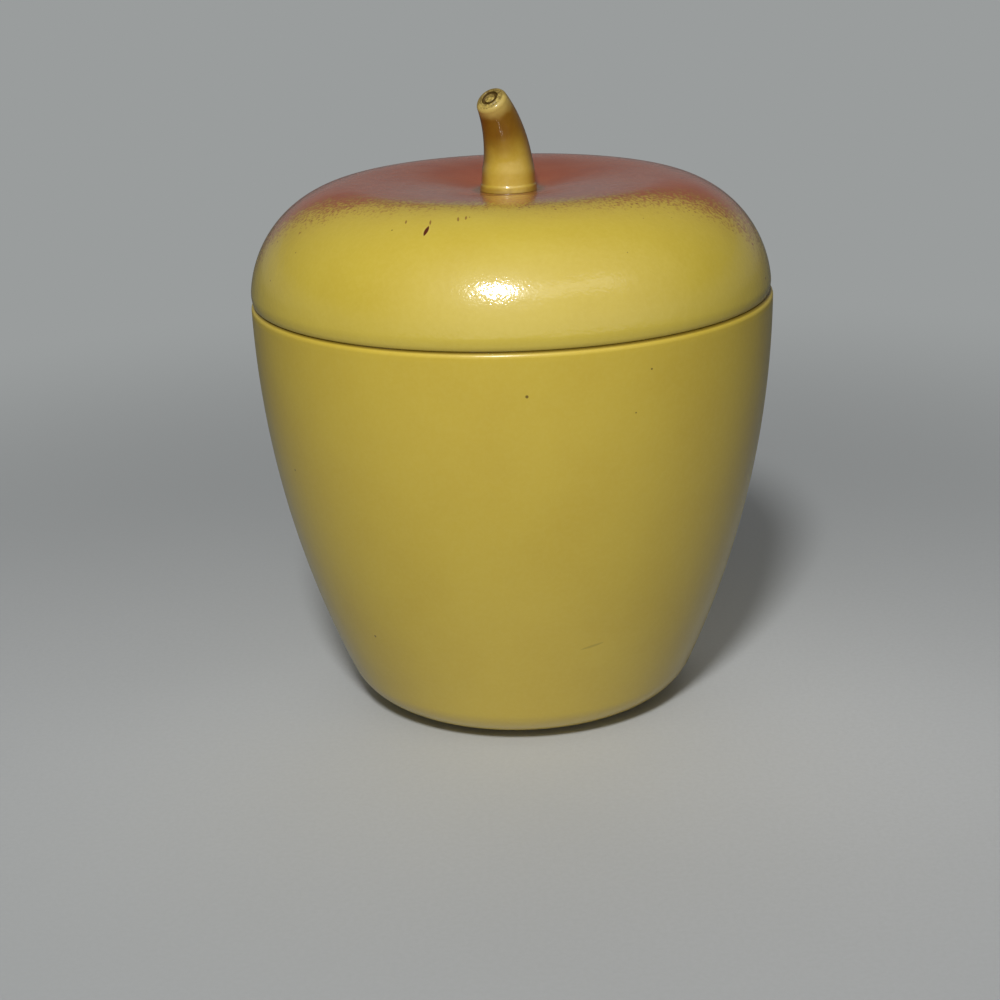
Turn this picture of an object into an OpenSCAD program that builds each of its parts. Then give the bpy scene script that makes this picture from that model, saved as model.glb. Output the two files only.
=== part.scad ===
// Pot for jam in the shape of an apple: a glazed earthenware bowl, a domed lid with
// a dished crown, and a bent stalk that serves as the lid's handle.
// Millimetres, +Z up, origin on the table under the middle of the foot ring.

/* [Pot] */
// Outside diameter at the rim
rim_d = 92; // [84:1:100]
// Height of the rim above the table
rim_h = 74.7; // [68:0.1:82]
// Radius of the long curve that the side follows
side_curve_r = 173.5; // [155:0.5:210]
// Height above the rim at which that curve would stand upright
side_curve_rise = 0.6; // [0:0.1:4]
// Radius of the heel, where the side turns under
heel_r = 9.8; // [8:0.1:12]
// Thickness of the side
wall_t = 4; // [3:0.1:5]
// Thickness of the floor, measured to the underside of the heel
floor_t = 5; // [4:0.1:7]
// Radius inside, between the floor and the side
inner_heel_r = 10; // [7:0.5:14]
// Rounding of the rim's outer edge
rim_round_out = 1; // [0.4:0.1:1.5]
// Rounding of the rim's inner edge
rim_round_in = 0.6; // [0.3:0.1:1]

/* [Foot ring] */
// Outside diameter of the foot ring
foot_d = 42; // [36:0.5:46]
// Width of the foot ring
foot_w = 3.2; // [2.4:0.1:4.5]
// Height of the foot ring below the heel
foot_h = 0.6; // [0.5:0.1:1.5]
// Depth of the hollow inside the foot ring
foot_hollow = 1.4; // [1:0.1:2]
// Chamfer on the edges of the foot ring
foot_chamfer = 0.3; // [0.1:0.05:0.4]

/* [Lid] */
// Height of the crown above the rim, and radius of the shoulder
lid_h = 19.8; // [17:0.1:23]
// Thickness of the lid
lid_t = 4; // [3:0.1:5]
// Depth of the dish below the crown
dish_depth = 2; // [1:0.1:4]
// Radius of the hollow round the stalk, where the dish levels out
dish_r = 14; // [8:0.5:20]
// Diameter of the flat seat under the stalk
stalk_seat_d = 10.8; // [10.4:0.1:14]
// Height of the lower edge, which draws in
lid_edge_h = 2.3; // [1:0.1:3.5]
// Radius of the lower edge
lid_edge_r = 5; // [4:0.1:8]
// Rounding of the corner that rests on the rim
lid_corner_r = 0.4; // [0.2:0.05:0.6]

/* [Locating flange] */
// How far the flange reaches down into the mouth
flange_depth = 5; // [3:0.1:8]
// Thickness of the flange
flange_t = 3.4; // [2.4:0.1:4.5]
// Play between the flange and the mouth, on the radius
flange_play = 0.8; // [0.4:0.05:1.5]
// Rounding of the flange's lower edge
flange_round = 1; // [0.4:0.1:1.1]

/* [Stalk] */
// Diameter just over the flared foot
stalk_foot_d = 9.8; // [8.6:0.1:10]
// How far the foot flares out, on the radius
stalk_flare = 0.2; // [0:0.05:0.4]
// Height of that flare
stalk_flare_h = 1.2; // [0.8:0.1:2]
// Rounding under the flare
stalk_foot_round = 0.2; // [0.1:0.05:0.3]
// Diameter near the tip
stalk_tip_d = 5.4; // [5.2:0.1:7]
// Length of the upright part
stalk_straight = 3.9; // [3:0.1:8]
// Radius of the bend
stalk_bend_r = 18.8; // [15:0.1:26]
// Lean of the tip from upright, in degrees
stalk_lean = 41; // [20:1:50]
// Direction of the lean, in degrees from +X
stalk_lean_azimuth = 233; // [0:1:359]
// How the stalk thins out, as a power: 1 is a straight taper
stalk_taper_power = 0.88; // [0.7:0.02:2]
// Rounding of the tip's shoulder
tip_round = 1; // [0.4:0.05:1.1]
// Diameter of the ring cut into the tip
tip_ring_d = 2.35; // [2:0.05:2.6]
// Width of that ring
tip_ring_w = 0.45; // [0.3:0.05:0.6]
// Depth of that ring
tip_ring_depth = 0.45; // [0.2:0.05:0.8]
// Height of the bead round the ring and of the nub inside it
tip_bead_h = 0.15; // [0.05:0.01:0.2]

/* [Hidden] */

// Overrun of every cut
over = 1;
// Facets of a full turn, and degrees per step along outlines
turn_fn = 180;
arc_step = 4;
long_arc_step = 1;
// Sides of the stalk, and rings along it
stalk_sides = 40;
stalk_rings = 26;
round_steps = 6;

rim_r = rim_d / 2;
foot_r = foot_d / 2;

// Centre of the side's curve
side_c_z = rim_h + side_curve_rise;
side_c_r = rim_r - sqrt(pow(side_curve_r, 2) - pow(side_curve_rise, 2));

// Lid heights and radii
crown_r = rim_r - lid_h;
crown_z = rim_h + lid_h;
seat_z = crown_z - dish_depth;
stalk_seat_r = stalk_seat_d / 2;
dish_run = crown_r - stalk_seat_r;
dish_angle = 2 * atan(dish_depth / dish_run);
crown_turn_r = dish_run / sin(dish_angle) - dish_r;

// Lower edge of the lid: its arc, and the rounded corner where it meets the rim
edge_start = asin(lid_edge_h / lid_h);
edge_c = [crown_r, rim_h] + (lid_h - lid_edge_r) * [cos(edge_start), sin(edge_start)];
corner_angle = -asin((edge_c[1] - rim_h - lid_corner_r) / (lid_edge_r - lid_corner_r));
corner_c = edge_c + (lid_edge_r - lid_corner_r) * [cos(corner_angle), sin(corner_angle)];

// Mouth of the pot and the flange that hangs in it
mouth_r = rim_r - wall_t;
flange_out_r = mouth_r - flange_play;
flange_in_r = flange_out_r - flange_t;
flange_z = rim_h - flange_depth;
shelf_z = rim_h + lid_t;
lid_inner_r = lid_h - lid_t;

// Stalk
stalk_foot_r = stalk_foot_d / 2;
stalk_tip_r = stalk_tip_d / 2;
stalk_len = stalk_straight + stalk_bend_r * stalk_lean * PI / 180;
ring_out = (tip_ring_d + tip_ring_w) / 2;
ring_in = (tip_ring_d - tip_ring_w) / 2;

// Points along a circle's arc, from angle a0 to angle a1
function arc(c, r, a0, a1, step = arc_step) =
    let (n = max(round_steps, ceil(abs(a1 - a0) / step)))
    [for (i = [0:n]) let (a = a0 + (a1 - a0) * i / n) c + r * [cos(a), sin(a)]];

// Radius of the side's curve at a height, for the outside (inset 0) or the inside
function side_r(z, inset) =
    side_c_r + sqrt(pow(side_curve_r - inset, 2) - pow(side_c_z - z, 2));

// Centre of the arc of radius r that touches a level floor and the side's curve
function heel_centre(r, floor_z, inset) =
    [side_c_r + sqrt(pow(side_curve_r - inset - r, 2) - pow(side_c_z - floor_z - r, 2)), floor_z + r];

function side_angle(p) = atan2(p[1] - side_c_z, p[0] - side_c_r);

// Side and floor of the pot's outside or inside, from the axis up to height top_z
function bowl_points(r, floor_z, inset, top_z) =
    let (c = heel_centre(r, floor_z, inset), top = [side_r(top_z, inset), top_z])
    concat(
        [[0, floor_z]],
        arc(c, r, -90, side_angle(c)),
        arc([side_c_r, side_c_z], side_curve_r - inset, side_angle(c), side_angle(top), long_arc_step)
    );

// Outside of the pot, with its rounded rim
module pot_outside() {
    edge_z = rim_h - rim_round_out;
    edge_c = [side_r(edge_z, 0) - rim_round_out, edge_z];
    polygon(concat(
        bowl_points(heel_r, foot_h, 0, edge_z),
        arc(edge_c, rim_round_out, 0, 90),
        [[0, rim_h]]
    ));
}

// Hollow of the pot, which opens out over the rim's inner edge
module pot_inside() {
    edge_z = rim_h - rim_round_in;
    edge_c = [side_r(edge_z, wall_t) + rim_round_in, edge_z];
    polygon(concat(
        bowl_points(inner_heel_r, foot_h + floor_t, wall_t, edge_z),
        arc(edge_c, rim_round_in, 180, 90),
        [[edge_c[0], rim_h + over], [0, rim_h + over]]
    ));
}

module foot_outline() {
    polygon([
        [0, foot_h + foot_hollow],
        [0, 0],
        [foot_r - foot_chamfer, 0],
        [foot_r, foot_chamfer],
        [foot_r, foot_h + foot_hollow]
    ]);
}

module foot_hollow_outline() {
    hollow_r = foot_r - foot_w;
    polygon([
        [0, -over],
        [hollow_r + foot_chamfer, -over],
        [hollow_r + foot_chamfer, 0],
        [hollow_r, foot_chamfer],
        [hollow_r, foot_hollow],
        [0, foot_hollow]
    ]);
}

// Crown and dish, from the stalk's seat out to the top of the shoulder, moved in by inset
function crown_points(inset) =
    concat(
        [[0, seat_z - inset]],
        arc([stalk_seat_r, seat_z + dish_r], dish_r + inset, -90, dish_angle - 90),
        arc([crown_r, crown_z - crown_turn_r], crown_turn_r - inset, 90 + dish_angle, 90)
    );

// Outside of the lid above the rim
module lid_outside() {
    polygon(concat(
        crown_points(0),
        arc([crown_r, rim_h], lid_h, 90, edge_start),
        arc(edge_c, lid_edge_r, edge_start, corner_angle),
        arc(corner_c, lid_corner_r, corner_angle, -90),
        [[0, rim_h]]
    ));
}

// Hollow of the lid, one thickness inside the shoulder, the crown and the seam
module lid_inside() {
    shelf_angle = asin((shelf_z - rim_h) / lid_inner_r);
    polygon(concat(
        crown_points(lid_t),
        arc([crown_r, rim_h], lid_inner_r, 90, shelf_angle),
        [[flange_in_r, shelf_z], [flange_in_r, flange_z - over], [0, flange_z - over]]
    ));
}

// Flange that keeps the lid on the pot, with a rounded lower edge
module flange_outline() {
    polygon(concat(
        [[flange_in_r - over, shelf_z], [flange_out_r, shelf_z]],
        arc([flange_out_r - flange_round, flange_z + flange_round], flange_round, 0, -90),
        arc([flange_in_r + flange_round, flange_z + flange_round], flange_round, -90, -180)
    ));
}

// Bend of the stalk's middle line at a distance s along it
function stalk_bend(s) = max(0, s - stalk_straight) / stalk_bend_r * 180 / PI;
function stalk_out(s) = stalk_bend_r * (1 - cos(stalk_bend(s)));
function stalk_up(s) = min(s, stalk_straight) + stalk_bend_r * sin(stalk_bend(s));

// Radius of the stalk at a distance s along it
function stalk_radius(s) =
    stalk_tip_r
    + (stalk_foot_r - stalk_tip_r) * pow(1 - s / stalk_len, stalk_taper_power)
    + stalk_flare * pow(max(0, 1 - s / stalk_flare_h), 2);

// Side view of the stalk as [distance along it, radius]: foot, flare, shoulder and ringed tip
function stalk_profile() =
    let (
        shoulder_s = stalk_len - tip_round,
        foot_c = stalk_radius(stalk_foot_round) - stalk_foot_round,
        tip_c = stalk_radius(shoulder_s) - tip_round
    )
    concat(
        [for (i = [0:round_steps]) let (a = 90 * i / round_steps)
            [stalk_foot_round * (1 - cos(a)), foot_c + stalk_foot_round * sin(a)]],
        [for (i = [1:stalk_rings])
            let (s = stalk_foot_round + (shoulder_s - stalk_foot_round) * i / stalk_rings)
            [s, stalk_radius(s)]],
        [for (i = [1:round_steps]) let (a = 90 * i / round_steps)
            [shoulder_s + tip_round * sin(a), tip_c + tip_round * cos(a)]],
        [
            [stalk_len + tip_bead_h, (tip_c + ring_out) / 2],
            [stalk_len, ring_out],
            [stalk_len - tip_ring_depth, ring_out - tip_ring_w / 4],
            [stalk_len - tip_ring_depth, ring_in + tip_ring_w / 4],
            [stalk_len, ring_in],
            [stalk_len + tip_bead_h, ring_in / 2]
        ]
    );

// One ring of the stalk's skin, square to the bent middle line
function stalk_ring(s, r) =
    let (b = stalk_bend(s))
    [for (i = [0:stalk_sides - 1]) let (a = 360 * i / stalk_sides)
        [stalk_out(s) + r * cos(a) * cos(b), r * sin(a), stalk_up(s) - r * cos(a) * sin(b)]];

module pot() {
    color("goldenrod")
    rotate_extrude($fn = turn_fn)
    difference() {
        union() {
            pot_outside();
            foot_outline();
        }
        pot_inside();
        foot_hollow_outline();
    }
}

module lid() {
    color("indianred")
    rotate_extrude($fn = turn_fn)
    difference() {
        union() {
            lid_outside();
            flange_outline();
        }
        lid_inside();
    }
}

module stalk() {
    profile = stalk_profile();
    last = len(profile) - 1;
    points = [for (p = profile) each stalk_ring(p[0], p[1])];
    skin = [for (j = [0:last - 1], i = [0:stalk_sides - 1])
        let (k = (i + 1) % stalk_sides, low = j * stalk_sides, high = low + stalk_sides)
        each [[low + i, high + k, low + k], [low + i, high + i, high + k]]];
    base = [for (i = [0:stalk_sides - 1]) i];
    cap = [for (i = [stalk_sides - 1:-1:0]) last * stalk_sides + i];
    color("olivedrab")
    translate([0, 0, seat_z])
    rotate([0, 0, stalk_lean_azimuth])
    polyhedron(points, concat([base], skin, [cap]), convexity = 4);
}

pot();
lid();
stalk();
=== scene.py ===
import math

import bpy
from mathutils import Matrix, Vector


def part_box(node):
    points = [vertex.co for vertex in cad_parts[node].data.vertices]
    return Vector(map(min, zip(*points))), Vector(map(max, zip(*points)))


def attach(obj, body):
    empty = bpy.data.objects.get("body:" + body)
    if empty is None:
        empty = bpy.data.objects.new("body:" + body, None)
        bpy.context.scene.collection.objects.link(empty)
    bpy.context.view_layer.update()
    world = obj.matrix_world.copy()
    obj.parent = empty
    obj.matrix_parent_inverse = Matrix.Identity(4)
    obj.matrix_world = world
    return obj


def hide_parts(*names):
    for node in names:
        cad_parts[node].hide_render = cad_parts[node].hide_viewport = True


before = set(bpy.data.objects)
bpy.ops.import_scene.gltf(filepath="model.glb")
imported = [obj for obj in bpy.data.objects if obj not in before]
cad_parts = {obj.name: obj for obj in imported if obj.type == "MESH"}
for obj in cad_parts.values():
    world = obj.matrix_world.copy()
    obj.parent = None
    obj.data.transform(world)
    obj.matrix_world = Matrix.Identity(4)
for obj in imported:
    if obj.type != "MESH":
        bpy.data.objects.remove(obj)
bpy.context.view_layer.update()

# Sizes below are in millimetres, in the frame of the CAD model; meshes are scaled to metres.
MM = 0.001

_, pot_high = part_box("pot")
lid_low, lid_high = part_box("lid")
stalk_low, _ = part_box("stalk")

RIM_R = pot_high.x / MM
RIM_H = pot_high.z / MM
CROWN_Z = lid_high.z / MM
SEAT_Z = stalk_low.z / MM

# Pot
SIDE_CURVE_R = 173.5
SIDE_CURVE_RISE = 0.6
HEEL_R = 9.8
WALL_T = 4.0
FLOOR_T = 5.0
INNER_HEEL_R = 10.0
RIM_ROUND_OUT = 1.0
RIM_ROUND_IN = 0.6
FOOT_R = 21.0
FOOT_W = 3.2
FOOT_H = 0.6
FOOT_HOLLOW = 1.4
FOOT_ROUND = 0.3
HOLLOW_FILLET = 0.8

# Lid
LID_H = CROWN_Z - RIM_H
LID_T = 4.0
CROWN_R = RIM_R - LID_H
DISH_R = 14.0
STALK_SEAT_R = 5.4
LID_EDGE_H = 2.3
LID_EDGE_R = 5.0
LID_CORNER_R = 0.4
FLANGE_DEPTH = RIM_H - lid_low.z / MM
FLANGE_T = 3.4
FLANGE_PLAY = 0.8
FLANGE_ROUND = 1.0

# Stalk
STALK_FOOT_R = 4.9
STALK_FLARE = 0.04
STALK_FLARE_H = 0.6
STALK_COLLAR = 0.15
STALK_COLLAR_TOP = 0.9
STALK_COLLAR_STEP = 0.4
STALK_SWELL = 0.14
STALK_SWELL_S = 3.3
STALK_SWELL_W = 1.4
STALK_FOOT_ROUND = 0.06
STALK_TIP_R = 2.7
STALK_STRAIGHT = 3.9
STALK_BEND_R = 18.8
STALK_LEAN = math.radians(41)
STALK_LEAN_AZIMUTH = math.radians(233)
STALK_TAPER_POWER = 0.88
STALK_LEN = STALK_STRAIGHT + STALK_BEND_R * STALK_LEAN
TIP_ROUND = 1.0
TIP_RING_R = 1.22
TIP_RING_W = 0.6
TIP_RING_DEPTH = 0.45
TIP_LIP_R = 1.66
TIP_LIP_W = 0.2
TIP_BEAD_H = 0.15
TIP_BEAD_FLOOR = 0.3

# How far hand finishing leaves the turned shapes out of true
POT_WAVE = 0.06
LID_WAVE = 0.05
LID_SHORT_SIDE = 0.3
# Their dents: share of the depth, lobes round the axis, turn, and further turn per mm of height
DENTS = [(1.0, 2, 0.7, 0.0), (0.7, 3, -1.1, 1 / 17), (0.5, 5, 2.0, -1 / 11)]
# The rolled stalk's hollows: share of its radius, lobes, and turn per mm along it
STALK_HOLLOWS = [(0.012, 2, 0.25), (0.006, 3, -0.4)]

# Fineness of the meshes
TURN_SEGMENTS = 256
ARC_STEP = math.radians(1.5)
LONG_ARC_STEP = math.radians(0.5)
SIDE_ARC_STEP = math.radians(0.25)
STALK_SIDES = 96
STALK_BODY_STEPS = 220
STALK_ROUND_STEPS = 12
TIP_FACE_STEPS = 48
ON_AXIS = 1e-6
SAME_POINT = 1e-4


def arc(centre, radius, start, end, step=ARC_STEP):
    """Points on a circle's arc from angle start to angle end, both in radians."""
    count = max(4, math.ceil(abs(end - start) / step))
    angles = [start + (end - start) * i / count for i in range(count + 1)]
    return [(centre[0] + radius * math.cos(a), centre[1] + radius * math.sin(a)) for a in angles]


def line(start, end, spacing=1.0):
    """Points from start to end about spacing apart, both ends included."""
    length = math.dist(start, end)
    count = max(1, math.ceil(length / spacing))
    return [
        (start[0] + (end[0] - start[0]) * i / count, start[1] + (end[1] - start[1]) * i / count)
        for i in range(count + 1)
    ]


def outline(*runs):
    """Joins runs of points, leaving out the ones that repeat."""
    joined = []
    for run in runs:
        for point in run:
            if not joined or math.dist(point, joined[-1]) > SAME_POINT:
                joined.append(point)
    return joined


def along(points, border):
    """Distance along the outline from the point nearest to border: below zero before it."""
    distances = [0.0]
    for a, b in zip(points, points[1:]):
        distances.append(distances[-1] + math.dist(a, b))
    nearest = min(range(len(points)), key=lambda i: math.dist(points[i], border))
    return [d - distances[nearest] for d in distances]


def mesh_object(name, vertices, faces, attributes):
    """A smooth mesh in metres, with float attributes given one value per vertex."""
    mesh = bpy.data.meshes.new(name)
    mesh.from_pydata([tuple(c * MM for c in v) for v in vertices], [], faces)
    mesh.validate()
    mesh.shade_smooth()
    for key, values in attributes.items():
        layer = mesh.attributes.new(key, "FLOAT", "POINT")
        layer.data.foreach_set("value", values)
    piece = bpy.data.objects.new(name, mesh)
    bpy.context.scene.collection.objects.link(piece)
    return piece


def skin(rows, segments):
    """Faces between neighbouring rows. A row is (first vertex, count), a ring or a single point."""
    faces = []
    for (first, count), (second, next_count) in zip(rows, rows[1:]):
        for i in range(segments):
            k = (i + 1) % segments
            if count == 1:
                faces.append((first, second + k, second + i))
            elif next_count == 1:
                faces.append((first + i, first + k, second))
            else:
                faces.append((first + i, first + k, second + k, second + i))
    return faces


def revolve(name, points, shape, attributes):
    """Turns an outline that starts and ends on the axis, at the radius that shape gives."""
    vertices, rows, values = [], [], {key: [] for key in attributes}
    for index, (radius, z) in enumerate(points):
        count = 1 if radius < ON_AXIS else TURN_SEGMENTS
        rows.append((len(vertices), count))
        for i in range(count):
            angle = 2 * math.pi * i / TURN_SEGMENTS
            true_r = shape(radius, angle, z) if count > 1 else 0.0
            vertices.append((true_r * math.cos(angle), true_r * math.sin(angle), z))
            for key in attributes:
                values[key].append(attributes[key][index])
    return mesh_object(name, vertices, skin(rows, TURN_SEGMENTS), values)


def side_curve_centre():
    """Centre of the long arc that the pot's side lies on, as (radius, height)."""
    return RIM_R - math.sqrt(SIDE_CURVE_R**2 - SIDE_CURVE_RISE**2), RIM_H + SIDE_CURVE_RISE


def side_point(z, inset):
    """Point of the pot's side at height z, on the outside or inset into the wall."""
    c = side_curve_centre()
    return c[0] + math.sqrt((SIDE_CURVE_R - inset) ** 2 - (c[1] - z) ** 2), z


def bowl(radius, floor_z, inset, top_z):
    """Heel and side of the pot, from the floor up to top_z."""
    c = side_curve_centre()
    reach = SIDE_CURVE_R - inset
    heel_z = floor_z + radius
    heel = (c[0] + math.sqrt((reach - radius) ** 2 - (c[1] - heel_z) ** 2), heel_z)
    touch = math.atan2(heel[1] - c[1], heel[0] - c[0])
    top = math.atan2(top_z - c[1], side_point(top_z, inset)[0] - c[0])
    return outline(
        arc(heel, radius, -math.pi / 2, touch),
        arc(c, reach, touch, top, SIDE_ARC_STEP),
    )


def pot_outline():
    """The pot from the middle of its underside, round foot, side and rim, to its floor's middle."""
    hollow_r = FOOT_R - FOOT_W
    rim_edge = side_point(RIM_H - RIM_ROUND_OUT, 0)
    mouth_edge = side_point(RIM_H - RIM_ROUND_IN, WALL_T)
    outside = bowl(HEEL_R, FOOT_H, 0, RIM_H - RIM_ROUND_OUT)
    inside = bowl(INNER_HEEL_R, FOOT_H + FLOOR_T, WALL_T, RIM_H - RIM_ROUND_IN)
    return outline(
        line((0, FOOT_HOLLOW), (hollow_r - HOLLOW_FILLET, FOOT_HOLLOW)),
        arc((hollow_r - HOLLOW_FILLET, FOOT_HOLLOW - HOLLOW_FILLET), HOLLOW_FILLET, math.pi / 2, 0),
        arc((hollow_r + FOOT_ROUND, FOOT_ROUND), FOOT_ROUND, math.pi, 1.5 * math.pi),
        line((hollow_r + FOOT_ROUND, 0), (FOOT_R - FOOT_ROUND, 0), 0.4),
        arc((FOOT_R - FOOT_ROUND, FOOT_ROUND), FOOT_ROUND, -math.pi / 2, 0),
        line((FOOT_R, FOOT_ROUND), (FOOT_R, FOOT_H), 0.1),
        outside,
        arc((rim_edge[0] - RIM_ROUND_OUT, rim_edge[1]), RIM_ROUND_OUT, 0, math.pi / 2),
        line((rim_edge[0] - RIM_ROUND_OUT, RIM_H), (mouth_edge[0] + RIM_ROUND_IN, RIM_H), 0.3),
        arc((mouth_edge[0] + RIM_ROUND_IN, mouth_edge[1]), RIM_ROUND_IN, math.pi / 2, math.pi),
        inside[::-1],
        line(inside[0], (0, FOOT_H + FLOOR_T)),
    )


def crown(inset):
    """Dish and crown of the lid, from the middle out to the shoulder's top, moved in by inset."""
    run = CROWN_R - STALK_SEAT_R
    turn = 2 * math.atan((CROWN_Z - SEAT_Z) / run)
    crown_r = run / math.sin(turn) - DISH_R
    up = math.pi / 2
    return outline(
        line((0, SEAT_Z - inset), (STALK_SEAT_R, SEAT_Z - inset)),
        arc((STALK_SEAT_R, SEAT_Z + DISH_R), DISH_R + inset, -up, turn - up),
        arc((CROWN_R, CROWN_Z - crown_r), crown_r - inset, up + turn, up, LONG_ARC_STEP),
    )


def lid_outline():
    """The lid from the middle of its dish, over shoulder, edge and flange, to its middle inside."""
    up = math.pi / 2
    shoulder = (CROWN_R, RIM_H)
    edge_top = math.asin(LID_EDGE_H / LID_H)
    reach = LID_H - LID_EDGE_R
    edge_c = (shoulder[0] + reach * math.cos(edge_top), shoulder[1] + reach * math.sin(edge_top))
    corner_z = RIM_H + LID_CORNER_R
    corner_angle = -math.asin((edge_c[1] - corner_z) / (LID_EDGE_R - LID_CORNER_R))
    corner_r = edge_c[0] + (LID_EDGE_R - LID_CORNER_R) * math.cos(corner_angle)
    flange_out = RIM_R - WALL_T - FLANGE_PLAY
    flange_in = flange_out - FLANGE_T
    flange_z = RIM_H - FLANGE_DEPTH
    inner_r = LID_H - LID_T
    shelf = math.asin(LID_T / inner_r)
    return outline(
        crown(0),
        arc(shoulder, LID_H, up, edge_top),
        arc(edge_c, LID_EDGE_R, edge_top, corner_angle),
        arc((corner_r, corner_z), LID_CORNER_R, corner_angle, -up),
        line((corner_r, RIM_H), (flange_out, RIM_H), 0.3),
        line((flange_out, RIM_H), (flange_out, flange_z + FLANGE_ROUND)),
        arc((flange_out - FLANGE_ROUND, flange_z + FLANGE_ROUND), FLANGE_ROUND, 0, -up),
        arc((flange_in + FLANGE_ROUND, flange_z + FLANGE_ROUND), FLANGE_ROUND, -up, -2 * up),
        line((flange_in, flange_z + FLANGE_ROUND), (flange_in, RIM_H + LID_T)),
        arc(shoulder, inner_r, shelf, up),
        crown(LID_T)[::-1],
    )


def wave(angle, z, depth):
    """Slow dents of a hand-finished turned shape, from 0 to depth, always inwards."""
    swell, fullest = 0.0, 0.0
    for share, lobes, turn, twist in DENTS:
        swell += share * math.sin(lobes * angle + turn + twist * z)
        fullest += share
    return depth * (swell / fullest - 1) / 2


def pot_shape(radius, angle, z):
    """The pot's dents, which fade towards its axis."""
    return radius + wave(angle, z, POT_WAVE) * min(1.0, radius / RIM_R)


def lid_shape(radius, angle, z):
    """The lid is a little short on the +X side, so the rim shows past it there."""
    short = LID_SHORT_SIDE * (1 + math.cos(angle)) / 2
    return radius + (wave(angle, z, LID_WAVE) - short) * (radius / RIM_R) ** 2


def stalk_radius(s):
    """Radius at a distance s along the stalk: a taper with a collar, a swell and a flared foot."""
    fall = min(1.0, max(0.0, (s - STALK_COLLAR_TOP) / STALK_COLLAR_STEP))
    taper = STALK_TIP_R + (STALK_FOOT_R - STALK_TIP_R) * (1 - s / STALK_LEN) ** STALK_TAPER_POWER
    collar = STALK_COLLAR * (1 - fall * fall * (3 - 2 * fall))
    swell = STALK_SWELL * math.exp(-(((s - STALK_SWELL_S) / STALK_SWELL_W) ** 2))
    flare = STALK_FLARE * max(0.0, 1 - s / STALK_FLARE_H) ** 2
    return taper + collar + swell + flare


def tip_height(radius):
    """Height of the tip's face over its end: a nub, the ring cut round it, and a raised lip."""
    half = TIP_RING_W / 2
    from_ring = abs(radius - TIP_RING_R)
    if from_ring < half:
        return TIP_BEAD_H * TIP_BEAD_FLOOR - TIP_RING_DEPTH * math.sqrt(1 - (from_ring / half) ** 2)
    if radius < TIP_RING_R:
        rise = math.cos(radius / (TIP_RING_R - half) * math.pi / 2)
        return TIP_BEAD_H * (TIP_BEAD_FLOOR + (1 - TIP_BEAD_FLOOR) * rise)
    return TIP_BEAD_H * math.exp(-(((radius - TIP_LIP_R) / TIP_LIP_W) ** 2))


def stalk_profile():
    """Side view of the stalk as (distance along it, radius), from foot to middle of the tip."""
    shoulder = STALK_LEN - TIP_ROUND
    tip_c = stalk_radius(shoulder) - TIP_ROUND
    quarter = [math.pi / 2 * i / STALK_ROUND_STEPS for i in range(STALK_ROUND_STEPS + 1)]
    foot = STALK_FOOT_ROUND
    foot_c = stalk_radius(foot) - foot
    span = shoulder - foot
    body = [foot + span * i / STALK_BODY_STEPS for i in range(1, STALK_BODY_STEPS + 1)]
    face = [tip_c * (1 - i / TIP_FACE_STEPS) for i in range(1, TIP_FACE_STEPS + 1)]
    return outline(
        [(0.0, 0.0)],
        [(foot * (1 - math.cos(a)), foot_c + foot * math.sin(a)) for a in quarter],
        [(s, stalk_radius(s)) for s in body],
        [(shoulder + TIP_ROUND * math.sin(a), tip_c + TIP_ROUND * math.cos(a)) for a in quarter],
        [(STALK_LEN + tip_height(r), r) for r in face],
    )


def stalk_point(s, radius, angle):
    """A point of the stalk's skin, square to its bent middle line."""
    bend = max(0.0, s - STALK_STRAIGHT) / STALK_BEND_R
    out = STALK_BEND_R * (1 - math.cos(bend))
    up = min(s, STALK_STRAIGHT) + STALK_BEND_R * math.sin(bend)
    x = out + radius * math.cos(angle) * math.cos(bend)
    y = radius * math.sin(angle)
    z = up - radius * math.cos(angle) * math.sin(bend)
    cos_az, sin_az = math.cos(STALK_LEAN_AZIMUTH), math.sin(STALK_LEAN_AZIMUTH)
    return cos_az * x - sin_az * y, sin_az * x + cos_az * y, SEAT_Z + z


def stalk_shape(radius, angle, s):
    """The stalk was rolled by hand, so it is not quite round."""
    kept = 1.0
    for depth, lobes, twist in STALK_HOLLOWS:
        kept -= depth * (1 + math.sin(lobes * angle + twist * s))
    return radius * kept


def build_pot():
    """The pot, with inner_mm: distance past its mouth along the outline."""
    points = pot_outline()
    mouth = side_point(RIM_H - RIM_ROUND_IN, WALL_T)
    return revolve("pot_glazed", points, pot_shape, {"inner_mm": along(points, mouth)})


def build_lid():
    """The lid, with inner_mm: distance past its lower corner along the outline."""
    points = lid_outline()
    corner = (RIM_R - LID_CORNER_R, RIM_H)
    return revolve("lid_glazed", points, lid_shape, {"inner_mm": along(points, corner)})


def build_stalk():
    """The stalk, with distance along it, depth in the tip's ring, and turn away from the front."""
    vertices, rows, lengths, sunk, flank = [], [], [], [], []
    for s, radius in stalk_profile():
        count = 1 if radius < ON_AXIS else STALK_SIDES
        rows.append((len(vertices), count))
        for i in range(count):
            angle = 2 * math.pi * i / STALK_SIDES
            vertices.append(stalk_point(s, stalk_shape(radius, angle, s), angle))
            lengths.append(s)
            in_ring = radius < TIP_RING_R + TIP_RING_W / 2 and s > STALK_STRAIGHT
            sunk.append(max(0.0, STALK_LEN - s) if in_ring else 0.0)
            out_y = math.sin(STALK_LEAN_AZIMUTH + angle)
            flank.append(1.0 - max(0.0, -out_y))
    values = {"along_mm": lengths, "sunk_mm": sunk, "flank": flank}
    return mesh_object("stalk_glazed", vertices, skin(rows, STALK_SIDES), values)


def srgb(red, green, blue):
    """A colour given as it looks on screen, 0 to 255, as linear RGBA."""
    channels = []
    for value in (red, green, blue):
        v = value / 255
        channels.append(v / 12.92 if v <= 0.04045 else ((v + 0.055) / 1.055) ** 2.4)
    return (*channels, 1.0)


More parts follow.
